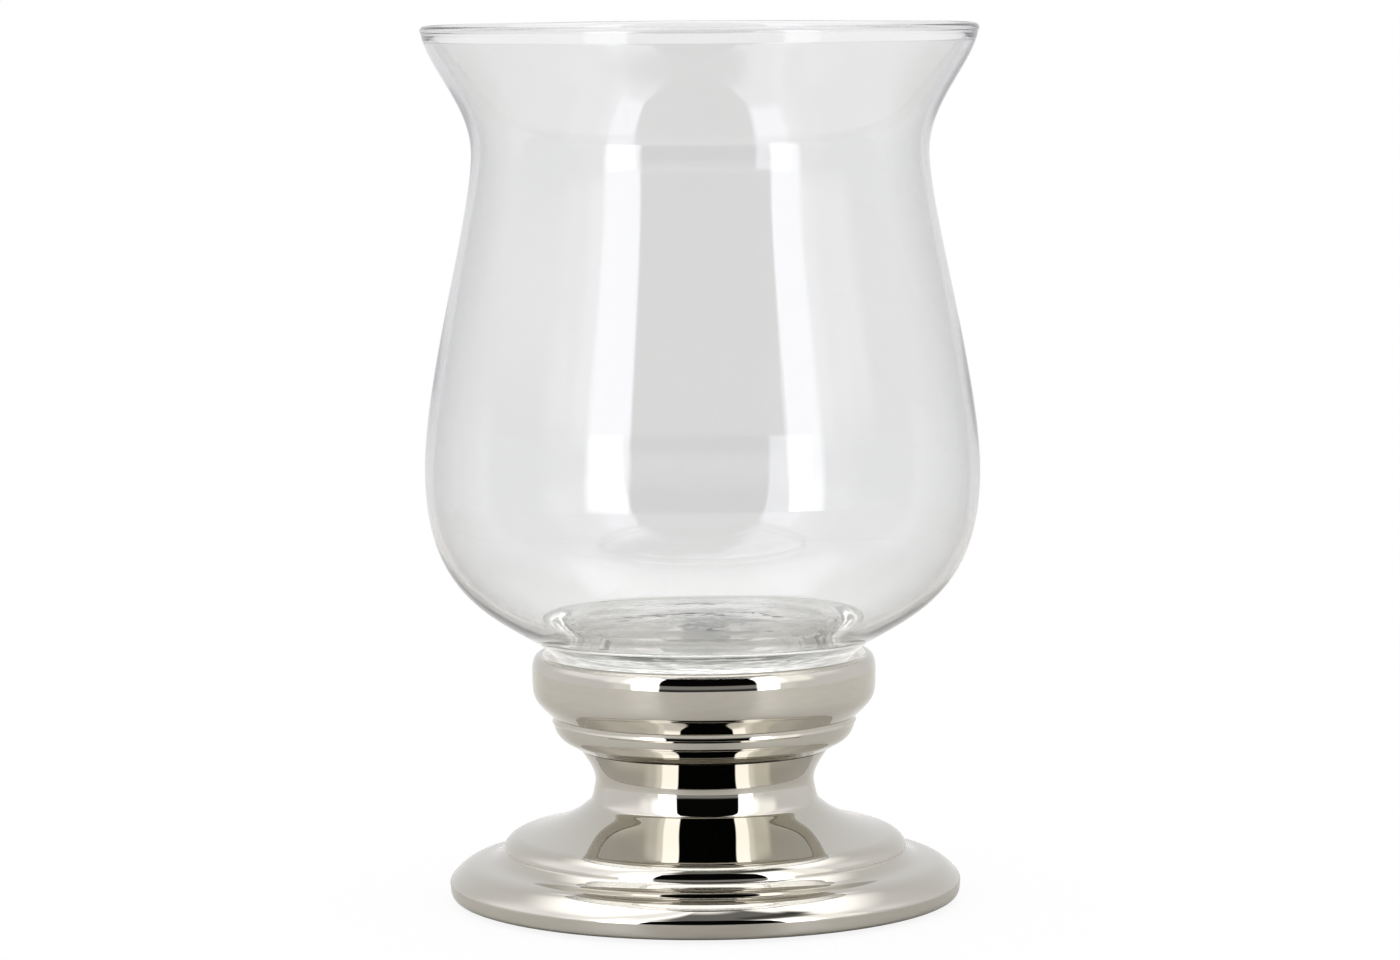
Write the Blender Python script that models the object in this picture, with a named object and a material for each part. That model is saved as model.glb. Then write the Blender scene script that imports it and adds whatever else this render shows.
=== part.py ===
"""Hurricane candle holder: a blown glass vessel that stands in the cup of a plated metal pedestal.

The pedestal is two castings, a cup above and a neck with its spreading foot below. A bolt through
the middle pulls them together, its head sunk under the glass and its nut inside the hollow foot.
Metres, +Z up. The origin is on the table top, under the middle of the foot.
"""

import math

import bmesh
import bpy

MM = 0.001

# Clearances
SEAT_GAP = 0.3 * MM
BOLT_HOLE_CLEARANCE = 0.5 * MM
GLASS_CLEARANCE = 1.5 * MM

# Felt pads that keep the foot off the table
FELT_THICKNESS = 1.0 * MM
FELT_RADIUS = 4.0 * MM
FELT_COUNT = 4
FELT_INSET = 8.17 * MM

# Walls of the two castings
CASTING_WALL = 4.5 * MM

# Foot: heights are above its underside
FOOT_RADIUS = 88.0 * MM
NOSE_DEPTH = 3.33 * MM
NOSE_HEIGHT = 3.67 * MM
LAND_WIDTH = 17.67 * MM
SLOPE_OUTER_INSET = 3.87 * MM
SLOPE_OUTER_HEIGHT = 10.3 * MM
SLOPE_OUTER_RISE = 40.3
STEP_RADIUS = 69.51 * MM
STEP_FILLET = 2.46 * MM
SLOPE_INNER_HEIGHT = 14.42 * MM
SLOPE_INNER_RISE = 33.3
STEP_HEIGHT = 16.54 * MM
SHOULDER_INSET = 5.3 * MM
SHOULDER_HEIGHT = 22.07 * MM
SHOULDER_RISE = 13.3
HOLLOW_EDGE_HEIGHT = 12.8 * MM

# Neck: heights are above the foot's underside
NECK_RADIUS = 37.68 * MM
NECK_HEIGHT = 40.68 * MM
BEND_SPREAD = 3.38 * MM
BEND_HEIGHT = 31.81 * MM
BEND_RISE = 38.8
COVE_SPREAD = 1.2 * MM
COVE_HEIGHT = 34.48 * MM
COVE_RISE = 72.7
JOINT_RADIUS = 42.96 * MM
JOINT_HEIGHT = 51.5 * MM
NECK_LEAN = 35.8
WEB_THICKNESS = 8.5 * MM
HOLLOW_FILLET = 2.5 * MM

# Register that centres the cup on the neck
REGISTER_RADIUS = 37.5 * MM
REGISTER_HEIGHT = 2.5 * MM
REGISTER_CHAMFER = 0.5 * MM

# Cup: heights are above its own bottom face
CUP_BOTTOM_OVERHANG = 0.6 * MM
RING_FOOT_RADIUS = 46.69 * MM
RING_FOOT_HEIGHT = 1.87 * MM
RING_FOOT_RISE = 26.3
RING_RADIUS = 52.19 * MM
CREASE_HEIGHT = 11.26 * MM
CREASE_STEP = 0.29 * MM
BAND_RISE = 43.1
BAND_HEIGHT = 26.51 * MM
CUP_HEIGHT = 32.6 * MM
LIP_WIDTH = 5.6 * MM
LIP_CROWN_WIDTH = 2.47 * MM
LIP_INNER_DROP = 2.0 * MM
RECESS_DEPTH = 6.5 * MM
RECESS_FILLET = 1.0 * MM
CUP_FLOOR = 5.0 * MM
SOCKET_WALL_HEIGHT = 4.0 * MM
BOSS_WALL = 4.5 * MM
BOSS_DRAFT = 1.0 * MM

# Seat pad between the cup and the glass
SEAT_PAD_THICKNESS = 1.5 * MM
SEAT_PAD_HOLE_RADIUS = 14.0 * MM
SEAT_PAD_MARGIN = 1.5 * MM

# Tie bolt, nut and washers
BOLT_RADIUS = 4.0 * MM
HEX_ACROSS_FLATS = 13.0 * MM
BOLT_HEAD_HEIGHT = 5.3 * MM
BOLT_TIP_CHAMFER = 0.8 * MM
BOLT_PROTRUSION = 3.0 * MM
HEAD_SINK = 0.5 * MM
NUT_HEIGHT = 6.5 * MM
HEX_CHAMFER = 0.9 * MM
HEAD_WASHER_RADIUS = 8.0 * MM
HEAD_WASHER_THICKNESS = 1.6 * MM
COUNTERBORE_CLEARANCE = 1.5 * MM
CLAMP_WASHER_RADIUS = 15.0 * MM
CLAMP_WASHER_THICKNESS = 2.5 * MM
SPRING_WASHER_RADIUS = 7.2 * MM
SPRING_WASHER_THICKNESS = 2.0 * MM
SPRING_WASHER_SPLIT = 14.0

# Glass: heights are above its own base
BASE_RADIUS = 45.5 * MM
PUNT_RADIUS = 36.0 * MM
PUNT_HEIGHT = 2.5 * MM
HEEL_RADIUS = 52.2 * MM
HEEL_HEIGHT = 4.5 * MM
HEEL_RISE = 45.7
BELLY_RADIUS = 95.2 * MM
BELLY_HEIGHT = 67.3 * MM
WAIST_RADIUS = 78.2 * MM
WAIST_HEIGHT = 176.7 * MM
RIM_RADIUS = 95.3 * MM
RIM_INSET = 0.3 * MM
RIM_LEAN = 11.4
RIM_DROP = 2.4 * MM
BEAD_RADIUS = 2.0 * MM
GLASS_HEIGHT = 220.0 * MM
GLASS_WALL = 3.0 * MM
HEEL_WALL = 4.3 * MM
GLASS_FLOOR = 13.5 * MM
FLOOR_CORNER = 4.5 * MM

# Faces round each turned piece
LARGE_TURN = 48
SMALL_TURN = 24
PAD_TURN = 16

# Directions in a turned outline, in degrees: radius to the right, height up
OUT = 0.0
UP = 90.0
IN = 180.0
DOWN = -90.0

# Levels above the table, stacked from the felt to the glass
FOOT_LEVEL = FELT_THICKNESS + SEAT_GAP
JOINT_LEVEL = FOOT_LEVEL + JOINT_HEIGHT
CUP_LEVEL = JOINT_LEVEL + SEAT_GAP
RECESS_HEIGHT = CUP_HEIGHT - RECESS_DEPTH
SEAT_PAD_LEVEL = CUP_LEVEL + RECESS_HEIGHT + SEAT_GAP
GLASS_LEVEL = SEAT_PAD_LEVEL + SEAT_PAD_THICKNESS + SEAT_GAP

# The counterbore holds the head and its washer just under the recess floor
COUNTERBORE_DEPTH = HEAD_SINK + BOLT_HEAD_HEIGHT + HEAD_WASHER_THICKNESS + 2 * SEAT_GAP
COUNTERBORE_RADIUS = HEAD_WASHER_RADIUS + COUNTERBORE_CLEARANCE
HEAD_WASHER_LEVEL = CUP_LEVEL + RECESS_HEIGHT - COUNTERBORE_DEPTH + SEAT_GAP
BOLT_HEAD_LEVEL = HEAD_WASHER_LEVEL + HEAD_WASHER_THICKNESS + SEAT_GAP
BOLT_HOLE_RADIUS = BOLT_RADIUS + BOLT_HOLE_CLEARANCE

# The washers and the nut hang in a row under the neck's web
WEB_UNDERSIDE_HEIGHT = JOINT_HEIGHT + REGISTER_HEIGHT - WEB_THICKNESS
CLAMP_WASHER_LEVEL = FOOT_LEVEL + WEB_UNDERSIDE_HEIGHT - SEAT_GAP - CLAMP_WASHER_THICKNESS
SPRING_WASHER_LEVEL = CLAMP_WASHER_LEVEL - SEAT_GAP - SPRING_WASHER_THICKNESS
NUT_LEVEL = SPRING_WASHER_LEVEL - SEAT_GAP - NUT_HEIGHT
BOLT_TIP_LEVEL = NUT_LEVEL - BOLT_PROTRUSION


def clear_scene():
    """Removes whatever the file opened with."""
    for obj in list(bpy.data.objects):
        bpy.data.objects.remove(obj, do_unlink=True)


def material(name, colour, roughness, metallic=0.0, transmission=0.0):
    """A plain Principled material."""
    finish = bpy.data.materials.new(name)
    finish.use_nodes = True
    shader = finish.node_tree.nodes["Principled BSDF"]
    shader.inputs["Base Color"].default_value = (*colour, 1.0)
    shader.inputs["Roughness"].default_value = roughness
    shader.inputs["Metallic"].default_value = metallic
    shader.inputs["Transmission Weight"].default_value = transmission
    return finish


def step_from(point, heading, distance):
    """The outline point that lies a distance from another, along a heading in degrees."""
    angle = math.radians(heading)
    return (point[0] + distance * math.cos(angle), point[1] + distance * math.sin(angle))


def curve(start, leaving, end, arriving, pull_start, pull_end, steps):
    """A cubic curve that leaves start along one heading and reaches end along another.

    The pulls are the lengths of its two handles, as shares of the distance between the ends.
    """
    reach = math.dist(start, end)
    first = step_from(start, leaving, pull_start * reach)
    second = step_from(end, arriving + 180.0, pull_end * reach)
    points = []
    for index in range(steps + 1):
        t = index / steps
        weights = ((1 - t) ** 3, 3 * (1 - t) ** 2 * t, 3 * (1 - t) * t * t, t ** 3)
        corners = (start, first, second, end)
        points.append(tuple(sum(w * c[axis] for w, c in zip(weights, corners)) for axis in (0, 1)))
    return points


def joined(*runs):
    """One outline from several runs of points, without the points that they share."""
    outline = []
    for run in runs:
        for point in run:
            if not outline or math.dist(outline[-1], point) > 1e-7:
                outline.append(point)
    return outline


def inset(run, depth):
    """A run of points moved square to itself, to the left of its direction, by depth(point)."""
    moved = []
    for index, point in enumerate(run):
        before = run[max(index - 1, 0)]
        after = run[min(index + 1, len(run) - 1)]
        length = math.dist(before, after)
        across = (before[1] - after[1]) / length
        along = (after[0] - before[0]) / length
        distance = depth(point)
        moved.append((point[0] + across * distance, point[1] + along * distance))
    return moved


def radius_at(run, height):
    """The radius at which a rising run of points passes a height."""
    for low, high in zip(run, run[1:]):
        if low[1] <= height <= high[1]:
            share = (height - low[1]) / (high[1] - low[1])
            return low[0] + share * (high[0] - low[0])
    return run[-1][0]


def new_object(name, bm, finish, level=0.0, smooth=True):
    """An object on the axis at a level, made from a finished bmesh."""
    mesh = bpy.data.meshes.new(name)
    bm.to_mesh(mesh)
    bm.free()
    if smooth:
        mesh.shade_smooth()
        mesh.set_sharp_from_angle(angle=math.radians(35.0))
    mesh.materials.append(finish)
    obj = bpy.data.objects.new(name, mesh)
    obj.location.z = level
    bpy.context.scene.collection.objects.link(obj)
    return obj


def spun(outline, segments, closed, sweep=360.0):
    """A bmesh turned about Z from an outline of (radius, height) points.

    An open outline starts and ends on the axis. A closed one is a ring's section. A sweep of less
    than a full turn leaves a split ring with flat ends.
    """
    bm = bmesh.new()
    verts = [bm.verts.new((radius, 0.0, height)) for radius, height in outline]
    ends = verts[1:] + verts[:1] if closed else verts[1:]
    edges = [bm.edges.new(pair) for pair in zip(verts, ends)]
    full = sweep >= 360.0
    section = [bm.faces.new(verts)] if not full else []
    bmesh.ops.spin(bm, geom=verts + edges + section, axis=(0.0, 0.0, 1.0), cent=(0.0, 0.0, 0.0),
                   angle=math.radians(sweep), steps=segments, use_merge=full)
    bmesh.ops.remove_doubles(bm, verts=bm.verts, dist=1e-7)
    bmesh.ops.recalc_face_normals(bm, faces=bm.faces)
    return bm


def turned(name, outline, segments, finish, level=0.0, closed=True):
    """A full turned piece."""
    return new_object(name, spun(outline, segments, closed), finish, level)


def flat_ring(inner, outer, thickness):
    """The section of a plain washer that lies on height zero."""
    return [(inner, 0.0), (outer, 0.0), (outer, thickness), (inner, thickness)]


def cutter(name, outline, segments, level=0.0):
    """A turned solid that only shapes another piece."""
    tool = new_object(name, spun(outline, segments, closed=False), None, level)
    tool.hide_render = True
    tool.display_type = "WIRE"
    return tool


def combine(obj, tool, operation):
    """A live Boolean with a cutter."""
    modifier = obj.modifiers.new(f"{operation.title()} {tool.name}", "BOOLEAN")
    modifier.operation = operation
    modifier.object = tool


def hexagon(name, height, finish, level):
    """A hexagonal prism that stands on its level."""
    bm = bmesh.new()
    corner_radius = HEX_ACROSS_FLATS / math.sqrt(3.0)
    bmesh.ops.create_circle(bm, cap_ends=True, radius=corner_radius, segments=6)
    extruded = bmesh.ops.extrude_face_region(bm, geom=list(bm.faces))
    top = [item for item in extruded["geom"] if isinstance(item, bmesh.types.BMVert)]
    bmesh.ops.translate(bm, verts=top, vec=(0.0, 0.0, height))
    bmesh.ops.recalc_face_normals(bm, faces=bm.faces)
    return new_object(name, bm, finish, level, smooth=False)


def hex_crown(height, both_ends):
    """The turned outline that takes the corners off a hexagon's outer ends."""
    face = HEX_ACROSS_FLATS / 2
    corner = HEX_ACROSS_FLATS / math.sqrt(3.0) + SEAT_GAP
    over = HEX_CHAMFER
    bottom = [(face, 0.0), (corner, over)] if both_ends else [(corner, 0.0)]
    return [(0.0, 0.0), *bottom, (corner, height - over), (face, height), (0.0, height)]


def glass_outer():
    """The outer side of the glass from the edge of its base up to the bead on its rim."""
    heel = (HEEL_RADIUS, HEEL_HEIGHT)
    belly = (BELLY_RADIUS, BELLY_HEIGHT)
    waist = (WAIST_RADIUS, WAIST_HEIGHT)
    rim = (RIM_RADIUS - RIM_INSET, GLASS_HEIGHT - RIM_DROP)
    return joined(
        curve((BASE_RADIUS, 0.0), OUT, heel, HEEL_RISE, 0.30, 0.40, 3),
        curve(heel, HEEL_RISE, belly, UP, 0.224, 0.636, 9),
        curve(belly, UP, waist, UP, 0.292, 0.185, 6),
        curve(waist, UP, rim, UP - RIM_LEAN, 0.371, 0.285, 6),
    )


def glass_wall_at(point):
    """The thickness of the glass at a point of its outer side: heavier below the belly."""
    below = max(0.0, (BELLY_HEIGHT - point[1]) / BELLY_HEIGHT)
    return GLASS_WALL + (HEEL_WALL - GLASS_WALL) * below ** 2


def make_glass(clear):
    """The vessel: thick dished base, round belly, waist, flared mouth and fire-polished bead."""
    outer = glass_outer()
    inner = inset(outer, glass_wall_at)
    wall = [point for point in inner if point[1] > GLASS_FLOOR + FLOOR_CORNER / 3]
    bead_centre = (RIM_RADIUS - BEAD_RADIUS, GLASS_HEIGHT - BEAD_RADIUS)
    bead = [step_from(bead_centre, angle, BEAD_RADIUS) for angle in (0, 45, 90, 135, 180)]
    wall = [point for point in wall if point[1] < bead_centre[1] - BEAD_RADIUS]
    low, above = wall[0], wall[1]
    fall = math.degrees(math.atan2(low[1] - above[1], low[0] - above[0]))
    floor_edge = (low[0] - FLOOR_CORNER, GLASS_FLOOR)
    outline = joined(
        curve((0.0, PUNT_HEIGHT), OUT, (PUNT_RADIUS, 0.0), -2 * PUNT_HEIGHT / MM, 0.33, 0.33, 3),
        outer,
        bead,
        reversed(wall),
        curve(low, fall, floor_edge, IN, 0.4, 0.4, 3),
        [(0.0, GLASS_FLOOR)],
    )
    return turned("hurricane_glass", outline, LARGE_TURN, clear, closed=False)


def make_seat_pad(rubber):
    """The soft ring that the glass stands on."""
    section = flat_ring(SEAT_PAD_HOLE_RADIUS, BASE_RADIUS - SEAT_PAD_MARGIN, SEAT_PAD_THICKNESS)
    return turned("glass_seat_pad", section, LARGE_TURN, rubber, SEAT_PAD_LEVEL)


def make_cup(plate):
    """The upper casting: a rounded band that holds the glass, over a half-round ring."""
    lip_in_glass = RECESS_DEPTH - SEAT_PAD_THICKNESS - 2 * SEAT_GAP
    recess = radius_at(glass_outer(), lip_in_glass) + GLASS_CLEARANCE
    cup_radius = recess + LIP_WIDTH
    crown = (recess + LIP_CROWN_WIDTH, CUP_HEIGHT)
    ring_foot = (RING_FOOT_RADIUS, RING_FOOT_HEIGHT)
    ring_top = (RING_RADIUS, CREASE_HEIGHT)
    band_foot = (RING_RADIUS + CREASE_STEP, CREASE_HEIGHT)
    band = (cup_radius, BAND_HEIGHT)
    recess_top = (recess, CUP_HEIGHT - LIP_INNER_DROP)
    recess_low = (recess, RECESS_HEIGHT + RECESS_FILLET)
    recess_edge = (recess - RECESS_FILLET, RECESS_HEIGHT)
    counterbore_floor = RECESS_HEIGHT - COUNTERBORE_DEPTH
    boss_bottom = REGISTER_HEIGHT + SEAT_GAP
    boss_radius = COUNTERBORE_RADIUS + BOSS_WALL
    roof = RECESS_HEIGHT - CUP_FLOOR
    socket = REGISTER_RADIUS + SEAT_GAP
    ring_inside = RING_RADIUS - CASTING_WALL
    band_inside = cup_radius - CASTING_WALL
    outline = joined(
        [(JOINT_RADIUS + CUP_BOTTOM_OVERHANG, 0.0)],
        curve(ring_foot, RING_FOOT_RISE, ring_top, UP, 0.23, 0.58, 5),
        curve(band_foot, BAND_RISE, band, UP, 0.53, 0.55, 5),
        curve(band, UP, crown, IN, 0.4, 0.41, 4),
        curve(crown, IN, recess_top, DOWN, 0.37, 0.37, 2),
        [recess_low, recess_edge],
        [(COUNTERBORE_RADIUS, RECESS_HEIGHT), (COUNTERBORE_RADIUS, counterbore_floor)],
        [(BOLT_HOLE_RADIUS, counterbore_floor), (BOLT_HOLE_RADIUS, boss_bottom)],
        [(boss_radius - BOSS_DRAFT, boss_bottom), (boss_radius, roof)],
        [(band_inside - RECESS_FILLET, roof), (band_inside, roof - RECESS_FILLET)],
        [(band_inside, roof - CASTING_WALL), (ring_inside, CREASE_HEIGHT)],
        [(ring_inside, SOCKET_WALL_HEIGHT + CASTING_WALL), (socket, SOCKET_WALL_HEIGHT)],
        [(socket, 0.0)],
    )
    return turned("cup_casting", outline, LARGE_TURN, plate, CUP_LEVEL)


def make_pedestal(plate):
    """The lower casting: neck, spreading shoulder, step and foot, hollow from below."""
    nose_land = (FOOT_RADIUS - NOSE_DEPTH, 0.0)
    nose = (FOOT_RADIUS, NOSE_HEIGHT)
    slope_outer = (FOOT_RADIUS - SLOPE_OUTER_INSET, SLOPE_OUTER_HEIGHT)
    slope_inner = (STEP_RADIUS + STEP_FILLET, SLOPE_INNER_HEIGHT)
    step = (STEP_RADIUS, STEP_HEIGHT)
    shoulder = (STEP_RADIUS - SHOULDER_INSET, SHOULDER_HEIGHT)
    bend = (NECK_RADIUS + BEND_SPREAD, BEND_HEIGHT)
    cove = (NECK_RADIUS + COVE_SPREAD, COVE_HEIGHT)
    neck = (NECK_RADIUS, NECK_HEIGHT)
    joint = (JOINT_RADIUS, JOINT_HEIGHT)
    sweep_up = joined(
        curve(shoulder, IN - SHOULDER_RISE, bend, IN - BEND_RISE, 0.64, 0.18, 6),
        curve(bend, IN - BEND_RISE, cove, IN - COVE_RISE, 0.47, 0.38, 3),
        curve(cove, IN - COVE_RISE, neck, UP, 0.34, 0.14, 3),
    )
    register_top = JOINT_HEIGHT + REGISTER_HEIGHT
    hollow = nose_land[0] - LAND_WIDTH
    web_edge = NECK_RADIUS - CASTING_WALL
    inside = inset(sweep_up, lambda point: CASTING_WALL)[::2]
    inside = [point for point in inside
              if point[1] < WEB_UNDERSIDE_HEIGHT - HOLLOW_FILLET and point[0] < hollow - HOLLOW_FILLET]
    outline = joined(
        curve(nose_land, OUT, nose, UP, 0.32, 0.6, 4),
        curve(nose, UP, slope_outer, IN - SLOPE_OUTER_RISE, 0.25, 0.9, 4),
        curve(slope_outer, IN - SLOPE_OUTER_RISE, slope_inner, IN - SLOPE_INNER_RISE, 0.4, 0.31, 2),
        curve(slope_inner, IN - SLOPE_INNER_RISE, step, UP, 0.5, 0.15, 3),
        curve(step, UP, shoulder, IN - SHOULDER_RISE, 0.41, 0.26, 3),
        sweep_up,
        curve(neck, UP, joint, UP - NECK_LEAN, 0.29, 0.32, 4),
        [(REGISTER_RADIUS, JOINT_HEIGHT), (REGISTER_RADIUS, register_top - REGISTER_CHAMFER)],
        [(REGISTER_RADIUS - REGISTER_CHAMFER, register_top), (BOLT_HOLE_RADIUS, register_top)],
        [(BOLT_HOLE_RADIUS, WEB_UNDERSIDE_HEIGHT), (web_edge - HOLLOW_FILLET, WEB_UNDERSIDE_HEIGHT)],
        reversed(inside),
        [(hollow, HOLLOW_EDGE_HEIGHT), (hollow, 0.0)],
    )
    return turned("pedestal_casting", outline, LARGE_TURN, plate, FOOT_LEVEL)


def make_bolt(steel):
    """The tie bolt: a chamfered hexagon head with its shank hanging from it."""
    bolt = hexagon("tie_bolt", BOLT_HEAD_HEIGHT, steel, BOLT_HEAD_LEVEL)
    crown = cutter("tie_bolt_crown", hex_crown(BOLT_HEAD_HEIGHT, False), SMALL_TURN, BOLT_HEAD_LEVEL)
    combine(bolt, crown, "INTERSECT")
    length = BOLT_HEAD_LEVEL - BOLT_TIP_LEVEL
    shank_outline = [
        (0.0, 0.0),
        (BOLT_RADIUS - BOLT_TIP_CHAMFER, 0.0),
        (BOLT_RADIUS, BOLT_TIP_CHAMFER),
        (BOLT_RADIUS, length + BOLT_HEAD_HEIGHT / 2),
        (0.0, length + BOLT_HEAD_HEIGHT / 2),
    ]
    shank = cutter("tie_bolt_shank", shank_outline, SMALL_TURN, BOLT_TIP_LEVEL)
    combine(bolt, shank, "UNION")
    return bolt


def make_nut(steel):
    """The nut under the neck's web, with both its ends chamfered."""
    nut = hexagon("hex_nut", NUT_HEIGHT, steel, NUT_LEVEL)
    crown = cutter("hex_nut_crown", hex_crown(NUT_HEIGHT, True), SMALL_TURN, NUT_LEVEL)
    combine(nut, crown, "INTERSECT")
    bore_radius = BOLT_RADIUS + SEAT_GAP
    bore_outline = [(0.0, 0.0), (bore_radius, 0.0), (bore_radius, 2 * NUT_HEIGHT), (0.0, 2 * NUT_HEIGHT)]
    bore = cutter("hex_nut_bore", bore_outline, SMALL_TURN, NUT_LEVEL - NUT_HEIGHT / 2)
    combine(nut, bore, "DIFFERENCE")
    return nut


def make_washers(steel):
    """A washer under the head, a wide one under the web, and a split spring washer on the nut."""
    head = flat_ring(BOLT_HOLE_RADIUS, HEAD_WASHER_RADIUS, HEAD_WASHER_THICKNESS)
    turned("head_washer", head, SMALL_TURN, steel, HEAD_WASHER_LEVEL)
    clamp = flat_ring(BOLT_HOLE_RADIUS, CLAMP_WASHER_RADIUS, CLAMP_WASHER_THICKNESS)
    turned("clamp_washer", clamp, SMALL_TURN, steel, CLAMP_WASHER_LEVEL)
    spring = flat_ring(BOLT_HOLE_RADIUS, SPRING_WASHER_RADIUS, SPRING_WASHER_THICKNESS)
    split = spun(spring, SMALL_TURN, True, sweep=360.0 - SPRING_WASHER_SPLIT)
    new_object("spring_washer", split, steel, SPRING_WASHER_LEVEL)


def make_felt_pads(felt):
    """Round felt pads, evenly spaced on the flat land under the foot, far enough in to be hidden."""
    reach = FOOT_RADIUS - NOSE_DEPTH - FELT_INSET - FELT_RADIUS
    outline = [(0.0, 0.0), (FELT_RADIUS, 0.0), (FELT_RADIUS, FELT_THICKNESS), (0.0, FELT_THICKNESS)]
    for number in range(FELT_COUNT):
        angle = math.radians(360.0 * (number + 0.5) / FELT_COUNT)
        pad = turned(f"felt_pad_{number + 1}", outline, PAD_TURN, felt, closed=False)
        pad.location = (reach * math.cos(angle), reach * math.sin(angle), 0.0)


def build():
    """Builds the whole candle holder."""
    clear_scene()
    clear = material("clear_glass", (0.97, 0.98, 0.98), 0.02, transmission=1.0)
    plate = material("nickel_plate", (0.74, 0.71, 0.66), 0.06, metallic=1.0)
    steel = material("zinc_steel", (0.58, 0.60, 0.63), 0.35, metallic=1.0)
    rubber = material("clear_silicone", (0.86, 0.86, 0.84), 0.45)
    felt = material("grey_felt", (0.16, 0.16, 0.17), 0.95)

    make_felt_pads(felt)
    make_pedestal(plate)
    make_cup(plate)
    make_bolt(steel)
    make_nut(steel)
    make_washers(steel)
    make_seat_pad(rubber)

    glass_lift = bpy.data.objects.new("glass_lift", None)
    glass_lift.location.z = GLASS_LEVEL
    bpy.context.scene.collection.objects.link(glass_lift)
    glass = make_glass(clear)
    glass.parent = glass_lift


build()
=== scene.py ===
"""The hurricane candle holder, dressed: blown glass, mirror nickel plate, steel fixings, silicone and felt.

Every turned piece is a numpy surface of revolution. Its outline is a row of (radius, height) points in
millimetres above the table, and the finished mesh is in metres, centred on the Z axis.
"""

from __future__ import annotations

import logging
import math
from dataclasses import dataclass
from enum import Enum
from typing import Callable

import bpy
import numpy as np
from mathutils import Matrix

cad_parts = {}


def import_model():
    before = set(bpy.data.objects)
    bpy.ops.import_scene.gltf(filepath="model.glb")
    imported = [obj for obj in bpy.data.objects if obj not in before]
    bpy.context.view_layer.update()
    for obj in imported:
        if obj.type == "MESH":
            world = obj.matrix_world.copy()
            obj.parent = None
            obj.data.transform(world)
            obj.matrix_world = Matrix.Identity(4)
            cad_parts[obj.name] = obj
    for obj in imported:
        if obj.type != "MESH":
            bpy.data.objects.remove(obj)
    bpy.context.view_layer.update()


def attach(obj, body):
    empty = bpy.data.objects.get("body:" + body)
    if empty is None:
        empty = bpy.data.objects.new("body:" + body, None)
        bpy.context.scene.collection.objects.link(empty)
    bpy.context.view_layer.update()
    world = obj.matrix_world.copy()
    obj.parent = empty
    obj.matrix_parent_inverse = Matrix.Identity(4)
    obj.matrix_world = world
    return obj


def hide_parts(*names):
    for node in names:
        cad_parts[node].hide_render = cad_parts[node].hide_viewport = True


LOGGER = logging.getLogger("candle_holder")
MM = 0.001
SHARP_EDGE = 35.0
CORNER_STEPS = 5

Outline = np.ndarray
Ripple = Callable[[np.ndarray, np.ndarray, np.ndarray], np.ndarray]
Piece = bpy.types.Object
Material = bpy.types.Material
Tree = bpy.types.NodeTree
Node = bpy.types.Node
Socket = bpy.types.NodeSocket
Inputs = dict[str | int, object]
Pair = tuple[float, float]
Triple = tuple[float, float, float]


class Body(Enum):
    """The rigid bodies that pieces ride on."""

    PEDESTAL = "pedestal"
    GLASS = "glass"


class Slot(Enum):
    """The finishes that the record names."""

    GLASS = "clear_glass"
    SILICONE = "seat_silicone"
    NICKEL = "nickel_plate"
    ZINC = "zinc_steel"
    FELT = "foot_felt"


class Heading(float, Enum):
    """Directions in an outline, in degrees: radius to the right, height up."""

    OUT = 0.0
    UP = 90.0
    IN = 180.0
    DOWN = 270.0


# Outlines


def curve(start: Triple, end: Triple, pulls: Pair, count: int) -> Outline:
    """A cubic curve that leaves start along one heading and reaches end along another.

    The point at t is s^3 start + 3 s^2 t first + 3 s t^2 second + t^3 end, where s is 1 - t and first and
    second are the ends of the two handles.

    Args:
        start: Radius and height of the first point, and the heading there in degrees.
        end: The same of the last point.
        pulls: Lengths of the two handles as shares of the distance between the ends.
        count: Number of steps.

    Returns:
        The points, as an array of count + 1 rows.
    """
    first_end, last_end = np.array(start[:2], float), np.array(end[:2], float)
    reach = float(np.linalg.norm(last_end - first_end))
    out, back = math.radians(start[2]), math.radians(end[2])
    first = first_end + pulls[0] * reach * np.array([math.cos(out), math.sin(out)])
    second = last_end - pulls[1] * reach * np.array([math.cos(back), math.sin(back)])
    t = np.linspace(0.0, 1.0, count + 1)[:, None]
    s = 1 - t
    return s**3 * first_end + 3 * s**2 * t * first + 3 * s * t**2 * second + t**3 * last_end


def line(start: Pair, end: Pair, count: int) -> Outline:
    """A straight run of count steps: start plus t times the way to the end."""
    t = np.linspace(0.0, 1.0, count + 1)[:, None]
    return np.array(start, float) + t * (np.array(end, float) - np.array(start, float))


def joined(*runs: Outline) -> Outline:
    """One outline from several runs, without points that lie on the one before."""
    points = np.vstack(runs)
    return points[np.append(True, np.linalg.norm(np.diff(points, axis=0), axis=1) > 1e-4)]


def forward(run: Outline) -> np.ndarray:
    """The direction of an outline at each of its points: the difference of its neighbours, at length 1."""
    along = np.gradient(run, axis=0)
    return along / np.linalg.norm(along, axis=1)[:, None]


def inset(run: Outline, depth: np.ndarray | float) -> Outline:
    """A run moved to its left, square to itself: each point plus depth times its left normal.

    Args:
        run: Radius and height of each point.
        depth: How far it moves, at all points alike or at each of them.

    Returns:
        The moved points.
    """
    along = forward(run)
    left = np.stack([-along[:, 1], along[:, 0]], axis=1)
    return run + left * np.broadcast_to(depth, len(run))[:, None]


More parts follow.
